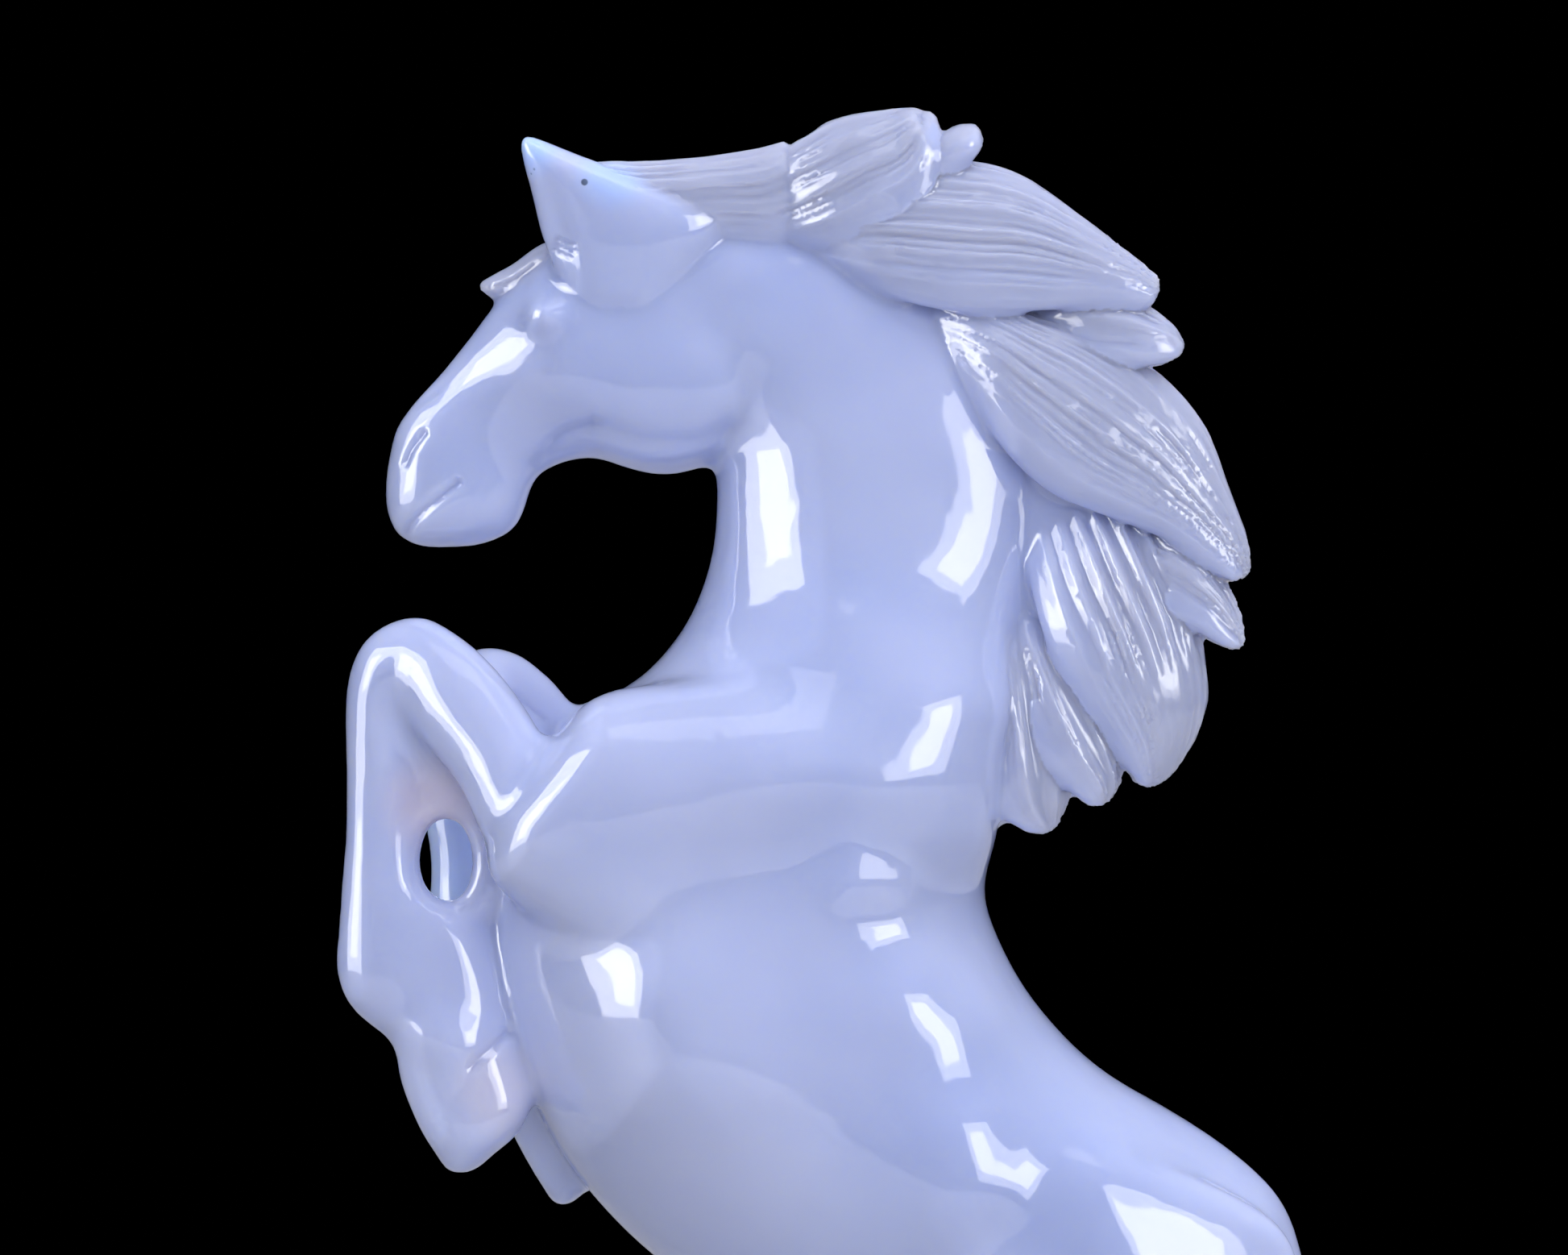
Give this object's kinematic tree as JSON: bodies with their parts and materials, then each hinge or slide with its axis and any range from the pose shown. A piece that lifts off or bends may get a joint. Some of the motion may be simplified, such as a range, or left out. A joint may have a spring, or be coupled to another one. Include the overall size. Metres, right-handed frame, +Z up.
{
  "type": "stone horse carving",
  "caption": "Rearing horse with a flowing mane, a bowed head and folded forelegs, carved in polished translucent stone with a low rock under its hind hooves.",
  "frame": {"origin": "middle of the flat underside of the rock", "axes": "+Z up, the horse faces -X, and its left side faces -Y"},
  "size_m": [0.0822, 0.0381, 0.1457],
  "materials": {
    "chalcedony": "high polish, milky and translucent"
  },
  "bodies": {
    "root": {"horse_carving": "chalcedony"}
  },
  "joints": []
}
